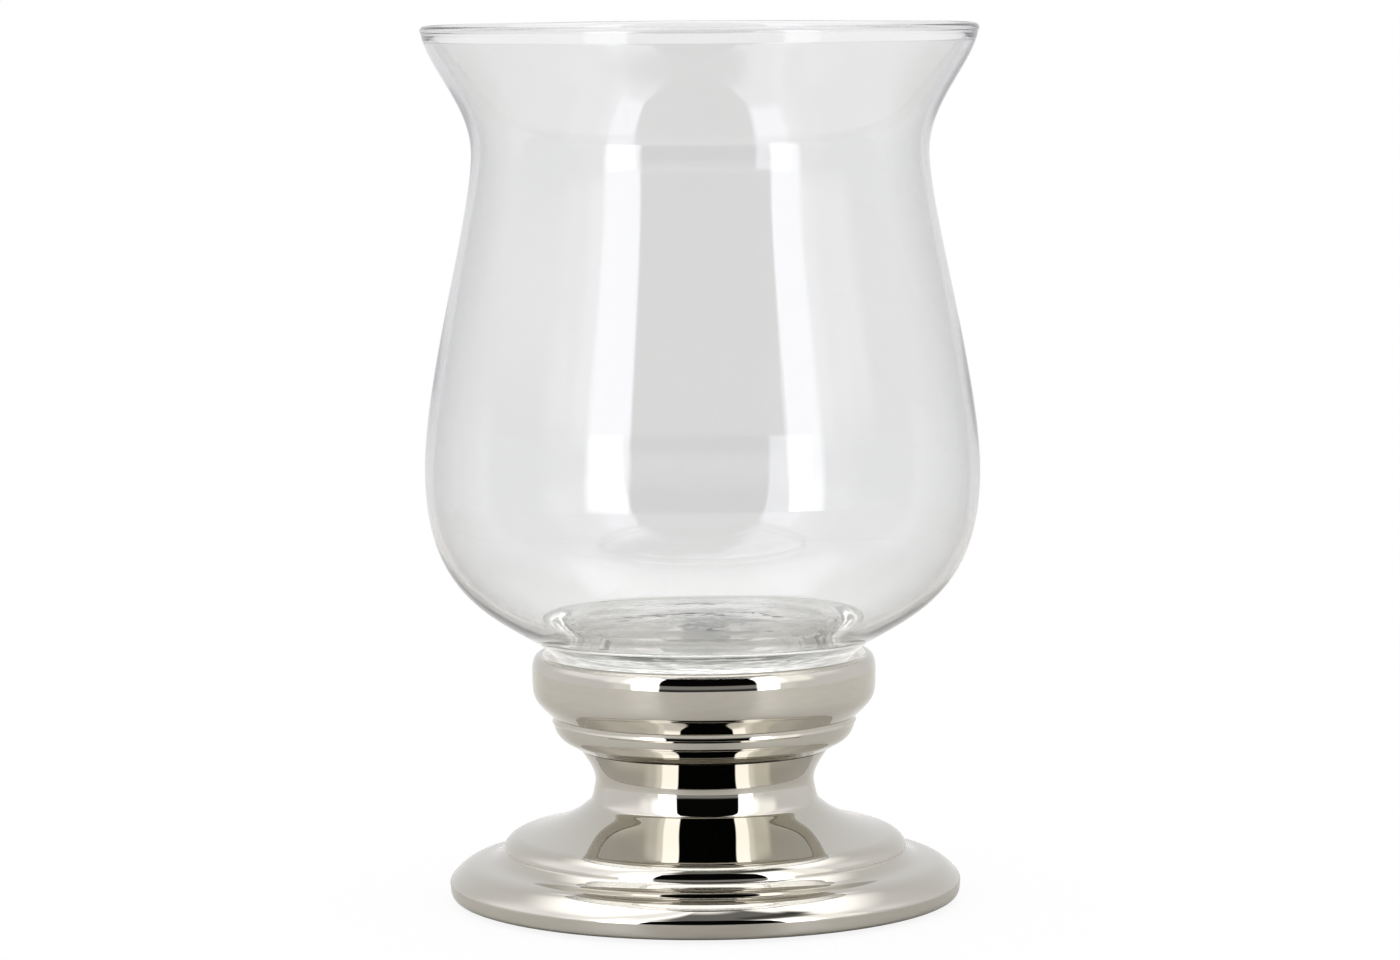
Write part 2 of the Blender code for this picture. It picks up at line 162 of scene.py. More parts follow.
def softened(corners: list[Triple]) -> Outline:
    """A polyline whose corners are rounded.

    Each corner becomes the parabola from the point its radius before it to the point its radius after
    it, with the corner as handle: (1-t)^2 before + 2(1-t) t corner + t^2 after.

    Args:
        corners: Rows of radius, height and how far the rounding reaches from the corner.

    Returns:
        The points from the first corner to the last, which both stay sharp.
    """
    table = np.array(corners, float)
    points, reach = table[:, :2], table[:, 2]
    t = np.linspace(0.0, 1.0, CORNER_STEPS + 1)[:, None]
    runs = [points[:1]]
    for index in range(1, len(points) - 1):
        corner = points[index]
        back, ahead = points[index - 1] - corner, points[index + 1] - corner
        enter = corner + back / np.linalg.norm(back) * reach[index]
        leave = corner + ahead / np.linalg.norm(ahead) * reach[index]
        runs.append((1 - t) ** 2 * enter + 2 * (1 - t) * t * corner + t**2 * leave)
    return joined(*runs, points[-1:])


def ring_section(inner: float, outer: float, low: float, high: float, ease: float) -> Outline:
    """The oblong section of a flat ring, run through from the middle of its underside.

    Args:
        inner: Inner radius.
        outer: Outer radius.
        low: Height of the underside.
        high: Height of the top.
        ease: How far the rounding reaches from each corner.

    Returns:
        The points, which close on the first.
    """
    middle = ((inner + outer) / 2, low, 0.0)
    sides = [(outer, low, ease), (outer, high, ease), (inner, high, ease), (inner, low, ease)]
    return softened([middle, *sides, middle])[:-1]


# Meshes


def mesh_object(name: str, points: np.ndarray, faces: list[np.ndarray], sharp: float = SHARP_EDGE) -> Piece:
    """An object at the origin from arrays of points and faces.

    Args:
        name: The piece's name.
        points: Rows of x, y and z in millimetres.
        faces: Arrays of point numbers, each with three or four columns.
        sharp: Edges steeper than this many degrees stay sharp.

    Returns:
        The linked object, shaded smooth.
    """
    mesh = bpy.data.meshes.new(name)
    mesh.from_pydata((points * MM).tolist(), [], [row for block in faces for row in block.tolist()])
    mesh.validate()
    mesh.shade_smooth()
    mesh.set_sharp_from_angle(angle=math.radians(sharp))
    obj = bpy.data.objects.new(name, mesh)
    bpy.context.scene.collection.objects.link(obj)
    return obj


def round_angles(count: int) -> np.ndarray:
    """Angles in even steps once round, in radians."""
    return np.arange(count) * (2 * math.pi / count)


def ring_grid(radius: np.ndarray, height: np.ndarray | float, angle: np.ndarray) -> np.ndarray:
    """A grid of points round the Z axis: (radius cos angle, radius sin angle, height)."""
    return np.stack(np.broadcast_arrays(radius * np.cos(angle), radius * np.sin(angle), height), axis=-1)


def grid_faces(rows: int, columns: int, wrap: bool = False) -> np.ndarray:
    """Quads of a grid that closes on itself along its columns.

    Quad (i, j) has the corners (i, j), (i, j+1), (i+1, j+1) and (i+1, j), so that it faces away from the
    material on the left of the outline.

    Args:
        rows: Number of rings.
        columns: Points in each ring.
        wrap: Whether the last ring is joined to the first.

    Returns:
        The point numbers of each quad.
    """
    i = np.arange(rows if wrap else rows - 1)[:, None]
    j = np.arange(columns)[None, :]
    below, above = i * columns, ((i + 1) % rows) * columns
    beside = (j + 1) % columns
    corners = [below + j, below + beside, above + beside, above + j]
    return np.stack([np.broadcast_to(c, (i.shape[0], columns)) for c in corners], axis=-1).reshape(-1, 4)


def fan(centre: int, ring: np.ndarray) -> np.ndarray:
    """Triangles from one point to a ring of others, in the ring's order."""
    return np.stack([np.full(len(ring), centre), ring, np.roll(ring, -1)], axis=1)


def capped(name: str, grid: np.ndarray, poles: np.ndarray, sharp: float) -> Piece:
    """A run of rings whose first and last are closed by fans to two poles.

    Args:
        name: The piece's name.
        grid: Points in millimetres, ring by ring.
        poles: The points in the middle of the first and the last ring.
        sharp: Edges steeper than this many degrees stay sharp.

    Returns:
        The linked object.
    """
    rows, columns = grid.shape[:2]
    ring, count = np.arange(columns), rows * columns
    faces = [grid_faces(rows, columns), fan(count, ring[::-1]), fan(count + 1, ring + count - columns)]
    return mesh_object(name, np.vstack([grid.reshape(-1, 3), poles]), faces, sharp)


def turned(
    name: str, outline: Outline, segments: int, closed: bool = True, ripple: Ripple | None = None
) -> Piece:
    """A piece turned about the Z axis: the point at (s, angle) is (r(s) cos, r(s) sin, z(s)).

    Args:
        name: The piece's name.
        outline: Radius and height in millimetres, with the material on the left of its direction.
        segments: Faces round the axis.
        closed: True for a ring's section, false for an outline that starts and ends on the axis.
        ripple: Gives how far each point moves along its normal, from the angle, radius and height grids.

    Returns:
        The linked object.
    """
    rim = outline if closed else outline[1:-1]
    angle = round_angles(segments)[None, :]
    radius, height = rim[:, :1], rim[:, 1:]
    if ripple is not None:
        along = forward(rim)
        swell = ripple(angle, radius, height)
        radius, height = radius + swell * along[:, 1:], height - swell * along[:, :1]
    grid = ring_grid(radius, height, angle)
    if closed:
        return mesh_object(name, grid.reshape(-1, 3), [grid_faces(len(rim), segments, wrap=True)])
    poles = np.array([[0.0, 0.0, outline[0, 1]], [0.0, 0.0, outline[-1, 1]]])
    return capped(name, grid, poles, SHARP_EDGE)


@dataclass(frozen=True)
class HandWork:
    """The gentle unevenness of hand work: a sum of waves round the axis and along the height."""

    depth: float
    seed: int
    turns: tuple[int, ...]
    length: float

    def __call__(self, angle: np.ndarray, radius: np.ndarray, height: np.ndarray) -> np.ndarray:
        """Depth times the mean of cos(turn angle + phase) cos(2 pi run / length + phase) over the turns.

        The run is the height plus 0.6 times the radius.

        Args:
            angle: Angles round the axis, in radians.
            radius: Radii in millimetres.
            height: Heights in millimetres.

        Returns:
            How far each point moves along its normal, in millimetres.
        """
        dice = np.random.default_rng(self.seed)
        total = np.zeros(np.broadcast_shapes(angle.shape, height.shape))
        for turn in self.turns:
            phase = dice.uniform(0.0, 2 * math.pi, 2)
            length = self.length * dice.uniform(0.55, 1.5)
            run = (height + 0.6 * radius) / length * 2 * math.pi
            total = total + np.cos(turn * angle + phase[0]) * np.cos(run + phase[1])
        return self.depth * total / len(self.turns)


# Nodes


def feed(node: Node, inputs: Inputs) -> None:
    """Sets a node's inputs.

    Args:
        node: The node.
        inputs: By name or number, a socket to link to the input, or the input's own value.
    """
    for key, value in inputs.items():
        if isinstance(value, bpy.types.NodeSocket):
            node.id_data.links.new(value, node.inputs[key])
        else:
            node.inputs[key].default_value = value


def add_node(tree: Tree, kind: str, inputs: Inputs | None = None, **settings: object) -> Node:
    """A node with its own settings made and its inputs fed.

    Args:
        tree: The nodes that it joins.
        kind: Blender's name for the node's type, without its first word.
        inputs: What goes into its inputs, by name or number.
        settings: Its own settings, made first.

    Returns:
        The node.
    """
    node = tree.nodes.new("ShaderNode" + kind)
    for key, value in settings.items():
        setattr(node, key, value)
    feed(node, inputs or {})
    return node


def place(tree: Tree, scale: Triple = (1.0, 1.0, 1.0)) -> Socket:
    """The socket with a point's place on its piece, in metres times scale."""
    coordinates = add_node(tree, "TexCoord").outputs["Object"]
    return add_node(tree, "Mapping", {"Scale": scale, "Vector": coordinates}).outputs["Vector"]


def from_axis(tree: Tree) -> Socket:
    """How far a point lies from the Z axis, in metres."""
    flat = place(tree, (1.0, 1.0, 0.0))
    return add_node(tree, "VectorMath", {0: flat}, operation="LENGTH").outputs["Value"]


def noise(tree: Tree, where: Socket, scale: float, detail: float) -> Socket:
    """The value of a noise pattern whose lumps are about 1 / scale metres across."""
    inputs = {"Scale": scale, "Detail": detail, "Vector": where}
    return add_node(tree, "TexNoise", inputs).outputs["Fac"]


def spread(tree: Tree, value: Socket, low: float, high: float, near: float = 0.0, far: float = 1.0) -> Socket:
    """A value whose range from near to far is carried over to low to high, and held there."""
    inputs = {"From Min": near, "From Max": far, "To Min": low, "To Max": high, "Value": value}
    return add_node(tree, "MapRange", inputs).outputs["Result"]


def blend(tree: Tree, share: Socket, first: Triple | Socket, second: Triple | Socket) -> Socket:
    """A colour between two others, each a colour or a socket."""
    a, b = [end if isinstance(end, bpy.types.NodeSocket) else (*end, 1.0) for end in (first, second)]
    return add_node(tree, "Mix", {"Factor": share, "A": a, "B": b}, data_type="RGBA").outputs["Result"]


def maths(tree: Tree, operation: str, *values: Socket | float) -> Socket:
    """The result of one arithmetic step on sockets and numbers."""
    return add_node(tree, "Math", dict(enumerate(values)), operation=operation).outputs["Value"]


def product(tree: Tree, first: Socket, second: Socket) -> Socket:
    """One value times another."""
    return maths(tree, "MULTIPLY", first, second)


def relief(tree: Tree, height: Socket, depth: float, **under: Socket) -> Socket:
    """A normal raised by a height from 0 to 1 that stands for depth metres, over another `Normal`."""
    return add_node(tree, "Bump", {"Distance": depth, "Height": height, **under}).outputs["Normal"]


def layered(tree: Tree, share: Socket, first: Node, second: Node) -> Node:
    """One shader that gives way to another."""
    return add_node(tree, "MixShader", {"Fac": share, 1: first.outputs[0], 2: second.outputs[0]})


# Finishes


def new_finish(name: str) -> tuple[Material, Tree, Node]:
    """A material with nodes.

    Args:
        name: Its name.

    Returns:
        The material, its tree and its Principled shader.
    """
    material = bpy.data.materials.new(name)
    material.use_nodes = True
    return material, material.node_tree, material.node_tree.nodes["Principled BSDF"]


@dataclass(frozen=True)
class BlownGlass:
    """Clear soda glass with a faint neutral veil, slow waves from blowing and a tiny seed in the wall.

    The veil deepens towards the outline, where the eye looks along the wall, and clears in the base. Towards
    the outline the deepening is painted shade as well as the deeper tint of the longer path. The pressed
    floor is uneven, and the heel's tint is nearly dark under a faint painted glow, which stands in for the
    daylight that the base pipes round inside and that the renderer's few mirrorings lose. Places and depths
    are in metres.
    """

    veil: Triple = (0.868, 0.869, 0.868)
    # Painted shade at the outline: its colour, and the facing range over which it comes in.
    edge: Triple = (0.62, 0.62, 0.61)
    painted_edge_shade_facing: Pair = (0.45, 0.90)
    base: Triple = (0.94, 0.945, 0.93)
    base_height: Pair = (0.096, 0.110)
    index: float = 1.5
    wave_depth: float = 0.00003
    seed_place: Triple = (-0.0702, -0.0605, 0.1292)
    seed_size: float = 0.0006
    seed_depth: float = 0.0002
    # Painted light in the heel: a nearly dark tint, under the painted glow set below.
    heel: Triple = (0.15, 0.152, 0.147)
    heel_radius: Pair = (0.046, 0.050)
    heel_height: Pair = (0.0875, 0.0925)
    heel_painted_glow: float = 0.45
    floor_radius: Pair = (0.047, 0.053)
    floor_height: Pair = (0.0937, 0.0957)
    floor_depth: float = 0.0012

    def material(self) -> Material:
        """Clear, sharp transmission, a wavy normal, and a dimple where a seed lies in the wall.

        Returns:
            The glass.
        """
        material, tree, shader = new_finish("clear_glass")
        # Painted shade: the veil darkens towards the outline by facing, besides the deeper tint of the longer
        # path.
        facing = add_node(tree, "LayerWeight", {"Blend": 0.5}).outputs["Facing"]
        wall = blend(tree, spread(tree, facing, 0.0, 1.0, *self.painted_edge_shade_facing), self.veil, self.edge)
        radius = from_axis(tree)
        height = add_node(tree, "SeparateXYZ", {"Vector": place(tree)}).outputs["Z"]
        # Heel mask: where the glass tint is darkened and the painted glow is put.
        outer = spread(tree, radius, 0.0, 1.0, *self.heel_radius)
        heel = product(tree, outer, spread(tree, height, 1.0, 0.0, *self.heel_height))
        foot = blend(tree, heel, self.base, self.heel)
        waves = relief(tree, noise(tree, place(tree, (1.0, 1.0, 0.45)), 38.0, 1.0), self.wave_depth)
        inputs = {0: place(tree), 1: self.seed_place}
        apart = add_node(tree, "VectorMath", inputs, operation="DISTANCE").outputs["Value"]
        dimple = spread(tree, apart, 1.0, 0.0, 0.0, self.seed_size)
        seeded = relief(tree, dimple, self.seed_depth, Normal=waves)
        middle = spread(tree, radius, 1.0, 0.0, *self.floor_radius)
        floor = product(tree, middle, spread(tree, height, 1.0, 0.0, *self.floor_height))
        lumps = product(tree, noise(tree, place(tree), 45.0, 3.0), floor)
        values = {
            "Base Color": blend(tree, spread(tree, height, 0.0, 1.0, *self.base_height), foot, wall),
            "Roughness": 0.0,
            "IOR": self.index,
            "Transmission Weight": 1.0,
            # The painted glow in the heel, standing in for daylight piped round through the base.
            "Emission Color": (1.0, 0.995, 0.965, 1.0),
            "Emission Strength": spread(tree, heel, 0.0, self.heel_painted_glow),
            "Normal": relief(tree, lumps, self.floor_depth, Normal=seeded),
        }
        feed(shader, values)
        return material


@dataclass(frozen=True)
class DriftingFinish:
    """A finish that drifts with a noise from one colour and roughness to another, over fine marks.

    `lumps` is the noise's scale and detail. `turn` holds the noise values between which the colour
    changes, and `rough_turn` the same for the roughness. `marks` is the scale, detail and depth in metres
    of the relief, `stretch` draws it out along an axis, and `painted_glow` is the strength of a painted glow
    that stands in for light from the glass above. `soft` is the share of light that is let in, and how deep
    in metres.
    """

    name: str
    colour: Triple
    second: Triple
    lumps: Pair
    roughness: Pair
    marks: Triple
    stretch: Triple = (1.0, 1.0, 1.0)
    rough_turn: Pair = (0.3, 0.7)
    turn: Pair = (0.3, 0.7)
    metallic: float = 1.0
    painted_glow: float = 0.0
    soft: Pair = (0.0, 0.002)

    def surface(self, tree: Tree) -> Socket:
        """The normal, raised by the marks."""
        scale, detail, depth = self.marks
        return relief(tree, noise(tree, place(tree, self.stretch), scale, detail), depth)

    def material(self) -> Material:
        """The finish as a material.

        Returns:
            The material.
        """
        material, tree, shader = new_finish(self.name)
        drift = noise(tree, place(tree), *self.lumps)
        values = {
            "Metallic": self.metallic,
            "Subsurface Weight": self.soft[0],
            "Subsurface Scale": self.soft[1],
            # Painted glow: emission that stands in for light from the glass above.
            "Emission Color": (1.0, 0.99, 0.97, 1.0),
            "Emission Strength": self.painted_glow,
            "Base Color": blend(tree, spread(tree, drift, 0.0, 1.0, *self.turn), self.colour, self.second),
            "Roughness": spread(tree, drift, *self.roughness, *self.rough_turn),
            "Normal": self.surface(tree),
        }
        feed(shader, values)
        return material


@dataclass(frozen=True)
class NickelPlate(DriftingFinish):
    """Mirror nickel over a turned, hand-buffed casting: warm silver, with faint buffing haze."""

    name: str = "mirror_nickel"
    colour: Triple = (0.535, 0.512, 0.452)
    second: Triple = (0.5216, 0.4992, 0.4407)
    lumps: Pair = (22.0, 3.0)
    roughness: Pair = (0.004, 0.022)
    rough_turn: Pair = (0.35, 0.75)
    marks: Triple = (60.0, 3.0, 0.0000004)
    stretch: Triple = (1.0, 1.0, 14.0)

    def surface(self, tree: Tree) -> Socket:
        """The normal: a slow ripple over the fine lines that the mop left round the piece."""
        slow = noise(tree, place(tree, (1.0, 1.0, 1.3)), 34.0, 0.5)
        return relief(tree, slow, 0.00002, Normal=super().surface(tree))


@dataclass(frozen=True)
class SatinPlate(DriftingFinish):
    """The plate in the recess under the glass, left satin with marks from the turning tool.

    It has a faint painted glow, standing in for the daylight that the base of the glass pipes down on it.
    """

    name: str = "satin_nickel"
    colour: Triple = (0.90, 0.89, 0.865)
    second: Triple = (0.837, 0.8277, 0.8045)
    lumps: Pair = (60.0, 3.0)
    roughness: Pair = (0.34, 0.46)
    marks: Triple = (120.0, 2.0, 0.000012)
    stretch: Triple = (1.0, 1.0, 20.0)
    # Painted glow in the recess, for light piped down through the glass.
    painted_glow: float = 0.14


@dataclass(frozen=True)
class RawCasting(DriftingFinish):
    """The plated but unpolished skin inside the castings: dull metal with cast grain and darker patches."""

    name: str = "raw_casting"
    colour: Triple = (0.40, 0.385, 0.36)
    second: Triple = (0.248, 0.2387, 0.2232)
    lumps: Pair = (45.0, 4.0)
    turn: Pair = (0.35, 0.7)
    roughness: Pair = (0.38, 0.6)
    marks: Triple = (900.0, 3.0, 0.00012)


@dataclass(frozen=True)
class ZincSteel(DriftingFinish):
    """Bright zinc on steel: cool grey with a faint yellow drift and fine turning marks."""

    name: str = "zinc_steel"
    colour: Triple = (0.60, 0.62, 0.64)
    second: Triple = (0.60, 0.575, 0.49)
    lumps: Pair = (160.0, 2.0)
    turn: Pair = (0.4, 0.7)
    roughness: Pair = (0.22, 0.38)
    marks: Triple = (1400.0, 2.0, 0.00003)
    stretch: Triple = (1.0, 1.0, 6.0)


@dataclass(frozen=True)
class SoftSilicone(DriftingFinish):
    """Pale, slightly cloudy silicone rubber with a fine moulded grain, and the same painted glow for the
    daylight that the glass pipes onto it.
    """

    name: str = "seat_silicone"
    colour: Triple = (0.84, 0.83, 0.79)
    second: Triple = (0.78, 0.77, 0.74)
    lumps: Pair = (90.0, 2.0)
    turn: Pair = (0.0, 1.0)
    roughness: Pair = (0.38, 0.5)
    rough_turn: Pair = (0.0, 1.0)
    marks: Triple = (2200.0, 2.0, 0.00002)
    metallic: float = 0.0
    # Painted glow on the seat, for light piped down through the glass.
    painted_glow: float = 0.14
    soft: Pair = (0.25, 0.002)


@dataclass(frozen=True)
class PressedFelt:
    """Dark grey pressed wool felt with paler fibres."""

    colour: Triple = (0.10, 0.10, 0.108)
    fibre: Triple = (0.24, 0.24, 0.25)
    nap: float = 0.00035

    def material(self) -> Material:
        """Rough cloth with a short nap: fibres in two directions and a soft sheen.

        Returns:
            The felt.
        """
        material, tree, shader = new_finish("grey_felt")
        across = noise(tree, place(tree, (6.0, 1.0, 1.0)), 900.0, 4.0)
        along = noise(tree, place(tree, (1.0, 6.0, 1.0)), 900.0, 4.0)
        both = product(tree, across, along)
        share = spread(tree, both, 0.0, 1.0, 0.12, 0.42)
        values = {
            "Sheen Weight": 0.35,
            "Sheen Roughness": 0.6,
            "Base Color": blend(tree, share, self.colour, self.fibre),
            "Roughness": spread(tree, share, 0.8, 0.95),
            "Normal": relief(tree, both, self.nap),
        }
        feed(shader, values)
        return material


# Sub-assemblies


def settle(obj: Piece, body: Body, material: Material, node: str) -> None:
    """Gives a piece its finish, sets it on its body and lets it stand for its node.

    Args:
        obj: The finished piece.
        body: The body that it moves with.
        material: Its material.
        node: The node that it stands for.
    """
    obj.data.materials.append(material)
    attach(obj, body.value)
    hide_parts(node)
    LOGGER.info("%-18s %7d faces, stands for %s", obj.name, len(obj.data.polygons), node)


@dataclass
class Vessel:
    """The blown glass: heavy base with a punt, heel, belly, waist, flared mouth and fire-polished bead."""

    level: float = 81.3
    base_radius: float = 45.5
    punt: Pair = (36.0, 2.5)
    heel: Triple = (52.2, 4.5, 45.7)
    belly: Triple = (95.2, 67.3, Heading.UP)
    waist: Triple = (78.2, 176.7, Heading.UP)
    rim: Triple = (95.0, 217.6, 78.6)
    bead: float = 2.0
    rim_radius: float = 95.3
    height: float = 220.0
    wall: float = 3.0
    heel_wall: float = 4.3
    floor: float = 12.2
    corner: float = 7.0
    segments: int = 240
    blowing: HandWork = HandWork(0.10, 4, (2, 3, 4, 6), 90.0)

    def outside(self) -> Outline:
        """The outer side from the edge of the base up to the bead.

        Returns:
            The points, from the base up.
        """
        return joined(
            curve((self.base_radius, 0.0, Heading.OUT), self.heel, (0.30, 0.40), 14),
            curve(self.heel, self.belly, (0.224, 0.636), 60),
            curve(self.belly, self.waist, (0.292, 0.185), 44),
            curve(self.waist, self.rim, (0.371, 0.285), 36),
        )

    def outline(self) -> Outline:
        """The whole section, from the middle of the punt round the outside and back along the floor.

        The inside lies the wall's thickness from the outside, square to it, and the wall grows as the
        square of the depth below the belly. The floor meets it in a soft corner.

        Returns:
            The points, raised to where the glass stands.
        """
        outer = self.outside()
        below = np.clip((self.belly[1] - outer[:, 1]) / self.belly[1], 0.0, None)
        inner = inset(outer, self.wall + (self.heel_wall - self.wall) * below**2)
        centre = (self.rim_radius - self.bead, self.height - self.bead)
        height = inner[:, 1]
        inner = inner[(height > self.floor + self.corner / 3) & (height < centre[1] - self.bead)][::-1]
        turn = np.radians(np.linspace(0.0, 180.0, 21))
        bead = np.stack([centre[0] + self.bead * np.cos(turn), centre[1] + self.bead * np.sin(turn)], axis=1)
        low, above = inner[-1], inner[-2]
        fall = math.degrees(math.atan2(low[1] - above[1], low[0] - above[0]))
        edge = (low[0] - self.corner, self.floor)
        run = joined(
            curve((0.0, self.punt[1], Heading.OUT), (self.punt[0], 0.0, -5.0), (0.33, 0.33), 16),
            np.array([(self.base_radius - 3, 0.0)]),
            outer,
            bead,
            inner,
            curve((*low, fall), (*edge, Heading.IN), (0.4, 0.4), 12),
            line(edge, (0.0, self.floor), 10),
        )
        return run + np.array([0.0, self.level])

    def build(self, material: Material) -> None:
        """Turns the vessel and sets it on its own body."""
        vessel = turned("blown_vessel", self.outline(), self.segments, closed=False, ripple=self.blowing)
        settle(vessel, Body.GLASS, material, "hurricane_glass")


@dataclass
class Cup:
    """The upper casting, a rounded band over a half-round ring, with its silicone seat."""

    level: float = 53.1
    bottom: float = 43.56
    ring_foot: Triple = (46.69, 1.87, 26.3)
    ring_top: Triple = (52.19, 11.26, Heading.UP)
    ridge: Triple = (0.32, 9.3, 0.5)
    step: float = 0.29
    band_rise: float = 43.1
    band: Triple = (59.2, 26.51, Heading.UP)
    recess: Pair = (53.6, 26.1)
    crown: Triple = (56.07, 32.6, Heading.IN)
    counterbore: Pair = (9.5, 18.1)
    hole: float = 4.5
    boss: Pair = (14.0, 2.8)
    roof: float = 21.1
    wall: float = 4.5
    socket: float = 37.8
    seat: Pair = (14.2, 43.7)
    seat_level: Pair = (0.1, 2.0)
    segments: int = 400
    seat_segments: int = 160
    buffing: HandWork = HandWork(0.035, 11, (2, 3, 5, 8, 13), 34.0)

    def outside(self) -> Outline:
        """The polished side, from the joint under the ring up over the lip and down into the recess.

        Returns:
            Points above the cup's own level.
        """
        band_foot = (self.ring_top[0] + self.step, self.ring_top[1], self.band_rise)
        edge, floor = self.recess
        lip = (edge, self.crown[1] - 2.0, Heading.DOWN)
        ring = curve(self.ring_foot, self.ring_top, (0.23, 0.58), 54)
        proud, level, breadth = self.ridge
        ring[:, 0] += proud * np.exp(-(((ring[:, 1] - level) / breadth) ** 2))
        return joined(
            softened([(self.bottom - 1, 0.0, 0.0), (self.bottom, 0.0, 0.3), (*self.ring_foot[:2], 0.0)]),
            ring,
            curve(band_foot, self.band, (0.53, 0.55), 28),
            curve(self.band, self.crown, (0.4, 0.41), 28),
            curve(self.crown, lip, (0.37, 0.37), 14),
            softened([(*lip[:2], 0.0), (edge, floor, 1.0), (edge - 3, floor, 0.0)]),
        )

    def underside(self) -> Outline:
        """The rough side: counterbore, bolt hole, boss, roof and the wall down to the socket.

        Returns:
            Points above the cup's own level.
        """
        edge, floor = self.recess
        bore, shelf = self.counterbore
        boss, low = self.boss
        roof_edge, ring_edge = self.band[0] - self.wall, self.ring_top[0] - self.wall
        corners = [
            (edge - 3, floor, 0.0),
            (bore, floor, 0.4),
            (bore, shelf, 0.6),
            (self.hole, shelf, 0.3),
            (self.hole, low, 0.3),
            (boss - 1, low, 0.8),
            (boss, self.roof, 2.0),
            (roof_edge, self.roof, 2.0),
            (roof_edge, self.roof - self.wall, 1.0),
            (ring_edge, self.ring_top[1], 1.0),
            (ring_edge, 8.5, 1.0),
            (self.socket, 4.0, 1.0),
            (self.socket, 0.0, 0.3),
            (self.bottom - 1, 0.0, 0.0),
        ]
        return softened(corners)

    def build(self, plate: Material, satin: Material, silicone: Material) -> None:
        """Turns the cup, with dull plate in the recess and the counterbore, and its seat.

        Args:
            plate: The mirror plate.
            satin: The dull plate.
            silicone: The seat's rubber.
        """
        outline = joined(self.outside(), self.underside())[:-1]
        raised = outline + np.array([0.0, self.level])
        cup = turned("polished_cup", raised, self.segments, ripple=self.buffing)
        settle(cup, Body.PEDESTAL, plate, "cup_casting")
        cup.data.materials.append(satin)
        radius, height = ((outline + np.roll(outline, -1, axis=0)) / 2).T
        dull = (radius < self.crown[0] - 0.4) & (height > self.recess[1] - 0.1)
        dull |= (radius < self.counterbore[0] + 0.4) & (height > self.counterbore[1] - 0.1)
        cup.data.polygons.foreach_set("material_index", np.repeat(dull.astype(int), self.segments))
        seat = ring_section(*self.seat, *self.seat_level, 0.4) + np.array([0.0, self.level + self.recess[1]])
        ring = turned("silicone_seat", seat, self.seat_segments)
        settle(ring, Body.PEDESTAL, silicone, "glass_seat_pad")


@dataclass
class Foot:
    """The lower casting: neck, spreading shoulder, step and foot with a round nose, hollow from below."""

    level: float = 1.3
    radius: float = 88.0
    nose: Pair = (3.33, 3.67)
    slope_outer: Triple = (84.13, 10.3, 139.7)
    slope_inner: Triple = (71.97, 14.42, 146.7)
    step: Triple = (69.51, 16.54, Heading.UP)
    shoulder: Triple = (64.21, 22.07, 166.7)
    bend: Triple = (41.06, 31.81, 141.2)
    cove: Triple = (38.88, 34.48, 107.3)
    neck: Triple = (37.68, 40.68, Heading.UP)
    joint: Triple = (42.96, 51.5, 54.2)
    register: Pair = (37.5, 54.0)
    web: float = 45.5
    wall: float = 4.5
    land: float = 17.67
    hollow_top: float = 12.8
    hole: float = 4.5
    segments: int = 340
    buffing: HandWork = HandWork(0.035, 23, (2, 3, 5, 8, 13), 34.0)

    def rise(self) -> Outline:
        """The shoulder's sweep up through the bend into the neck.

        Returns:
            Points above the foot's own level.
        """
        return joined(
            curve(self.shoulder, self.bend, (0.64, 0.18), 32),
            curve(self.bend, self.cove, (0.47, 0.38), 16),
            curve(self.cove, self.neck, (0.34, 0.14), 16),
        )

    def outside(self) -> Outline:
        """The polished side, from the flat land under the nose up to the joint below the ring.

        Returns:
            Points above the foot's own level.
        """
        start, tip = self.radius - self.nose[0], (self.radius, self.nose[1], Heading.UP)
        return joined(
            line((start - 3, 0.0), (start, 0.0), 3),
            curve((start, 0.0, Heading.OUT), tip, (0.32, 0.6), 16),
            curve(tip, self.slope_outer, (0.25, 0.9), 22),
            curve(self.slope_outer, self.slope_inner, (0.4, 0.31), 14),
            curve(self.slope_inner, self.step, (0.5, 0.15), 20),
            curve(self.step, self.shoulder, (0.41, 0.26), 20),
            self.rise(),
            curve(self.neck, self.joint, (0.29, 0.32), 18),
        )

    def hollow(self) -> Outline:
        """The rough side: register, bolt hole, web, the neck's and the shoulder's inside, and the land.

        Returns:
            Points above the foot's own level.
        """
        edge = self.neck[0] - self.wall
        mouth = self.radius - self.nose[0] - self.land
        top = [
            (*self.joint[:2], 0.0),
            (self.register[0], self.joint[1], 0.2),
            (*self.register, 0.5),
            (self.hole, self.register[1], 0.3),
            (self.hole, self.web, 0.3),
            (edge, self.web, 2.5),
            (edge, self.web - 3.0, 0.0),
        ]
        inside = inset(self.rise(), self.wall)
        inside = inside[(inside[:, 1] < self.web - 3.0) & (inside[:, 0] < mouth - 2.5)][::-1]
        land = (self.radius - self.nose[0] - 3, 0.0, 0.0)
        bottom = softened([(*inside[-1], 0.0), (mouth, self.hollow_top, 1.5), (mouth, 0.0, 0.6), land])
        return joined(softened(top), inside, bottom)

    def build(self, plate: Material, raw: Material) -> None:
        """Turns the foot, polished outside and raw in the hollow.

        Args:
            plate: The mirror plate.
            raw: The unpolished skin.
        """
        outside, hollow = self.outside(), self.hollow()
        outline = joined(outside, hollow)[:-1] + np.array([0.0, self.level])
        foot = turned("polished_foot", outline, self.segments, ripple=self.buffing)
        settle(foot, Body.PEDESTAL, plate, "pedestal_casting")
        foot.data.materials.append(raw)
        register_points = 4
        rough = np.arange(len(outline)) >= len(outside) + register_points
        foot.data.polygons.foreach_set("material_index", np.repeat(rough.astype(int), self.segments))


